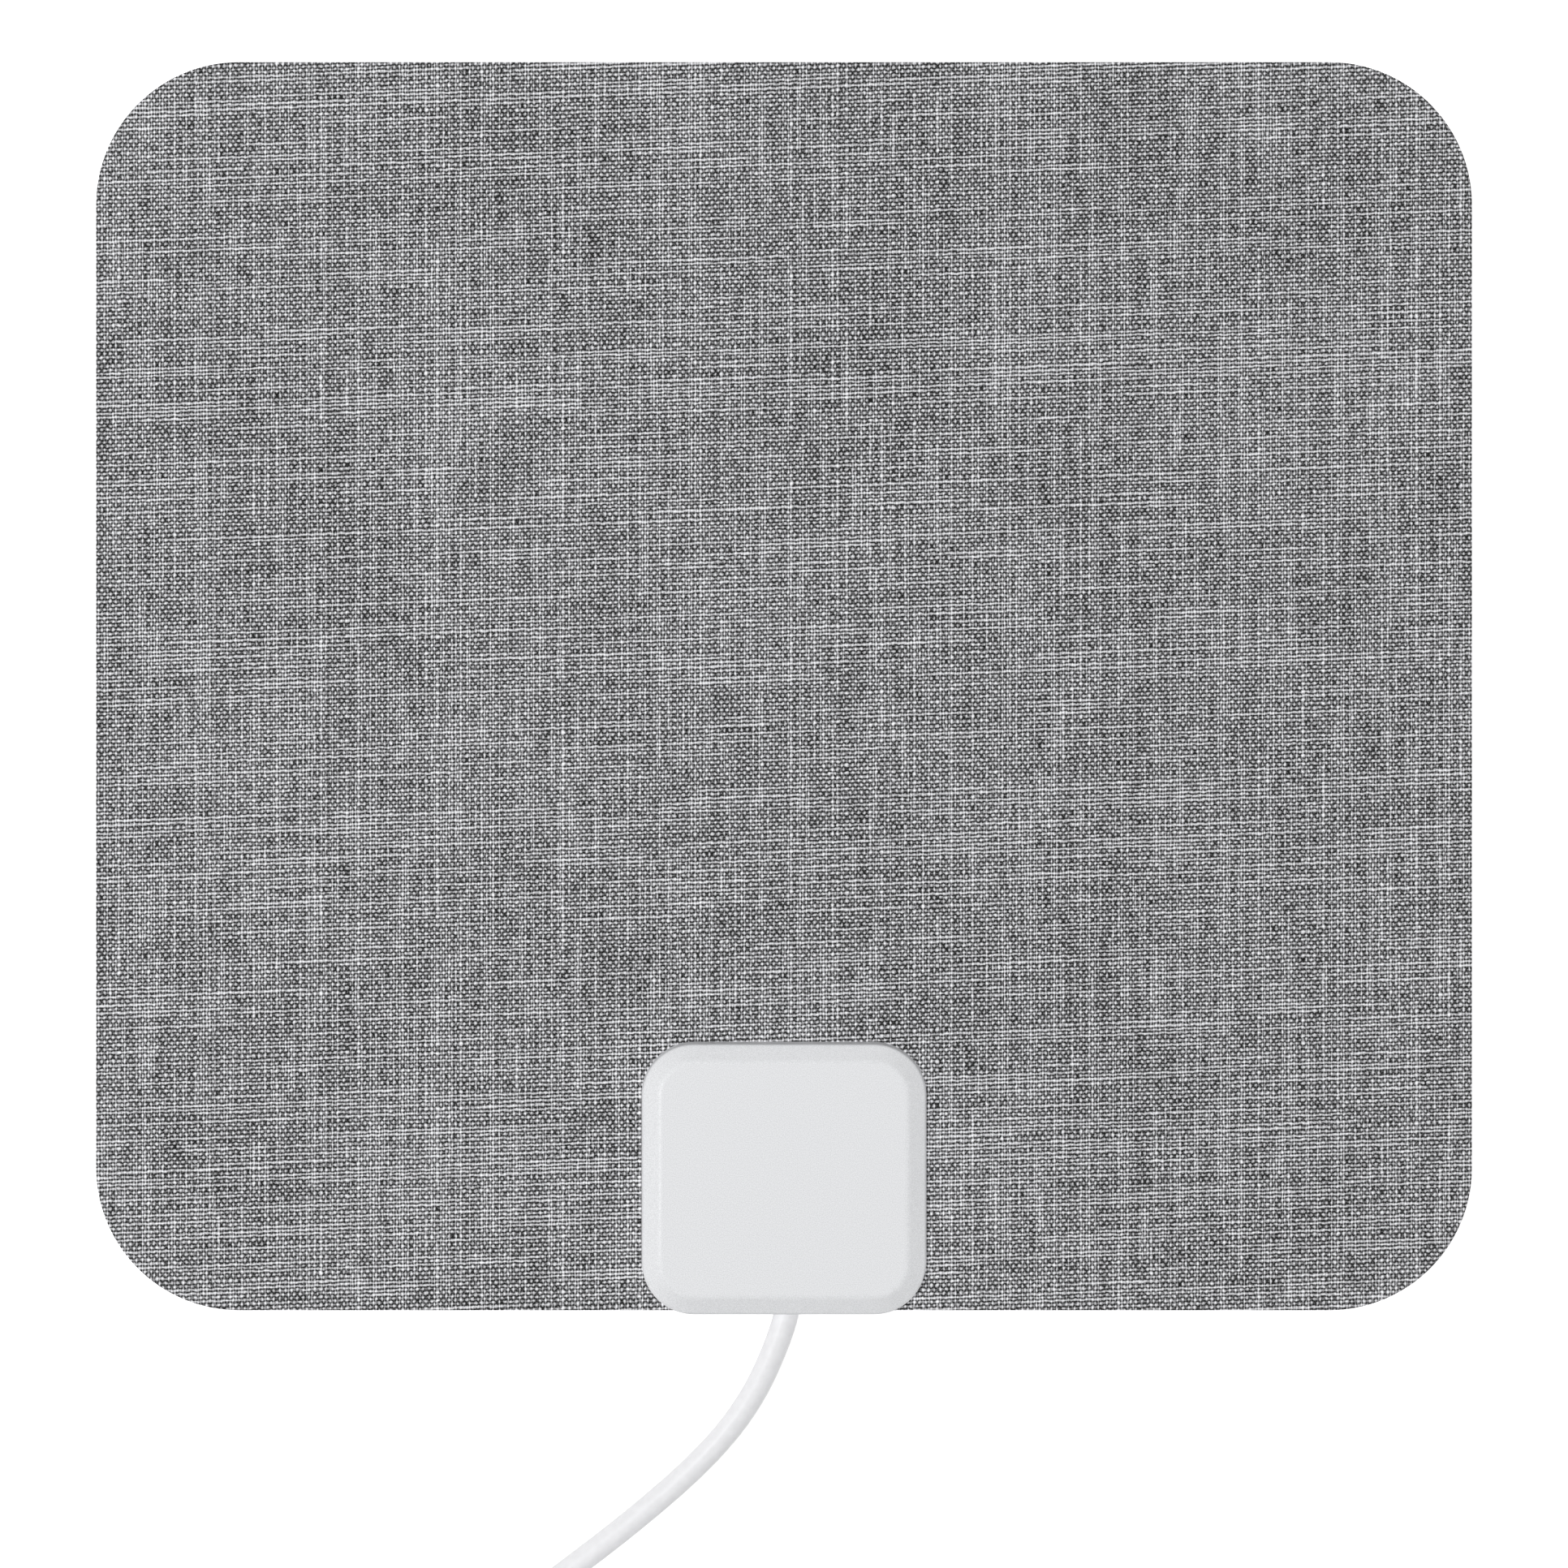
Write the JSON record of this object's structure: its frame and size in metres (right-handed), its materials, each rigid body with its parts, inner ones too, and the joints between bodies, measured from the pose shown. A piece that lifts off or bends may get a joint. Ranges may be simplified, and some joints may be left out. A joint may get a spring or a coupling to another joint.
{
  "type": "flat indoor tv antenna",
  "caption": "Flat indoor TV antenna: cloth-faced rounded sheet with foil elements, a bevelled white feed housing on its lower edge and a coaxial cable with a push-on plug.",
  "frame": {"origin": "under the middle of the sheet, on the plane that the housing's rear cover rests on", "axes": "+X along the sheet's lower edge to the right, +Y up the sheet away from the cable, +Z out of the cloth face"},
  "size_m": [0.21, 0.2969, 0.0154],
  "materials": {
    "grey_cloth": "plain weave, heathered grey",
    "sheet_pvc": "matt",
    "foil": "satin",
    "white_abs": "fine matt grain",
    "screw_steel": "zinc plated",
    "board_laminate": "solder resist",
    "spring_bronze": "satin",
    "ferrite": "matt",
    "copper": "enamelled",
    "tinned_steel": "tinned",
    "polyethylene": "milky",
    "white_pvc": "semi-matt",
    "nickel": "nickel plated"
  },
  "bodies": {
    "root": {"cloth_face": "grey_cloth", "back_sheet": "sheet_pvc", "foil_element_left": "foil", "foil_element_right": "foil", "housing_front": "white_abs", "housing_rear": "white_abs", "housing_screws": "screw_steel", "circuit_board": "board_laminate", "board_screws": "screw_steel", "contact_spring_left": "spring_bronze", "contact_spring_right": "spring_bronze", "balun_core": "ferrite", "balun_antenna_winding": "copper", "balun_cable_winding": "copper", "cable_ground_clip": "tinned_steel", "cable_braid": "tinned_steel", "cable_dielectric": "polyethylene", "cable_conductor": "copper", "cable_lead": "white_pvc", "cable_coil": "white_pvc", "cable_tail": "white_pvc", "coil_tie": "white_pvc", "plug_body": "white_pvc", "plug_shell": "nickel", "plug_insulator": "polyethylene", "plug_pin": "nickel"}
  },
  "joints": []
}
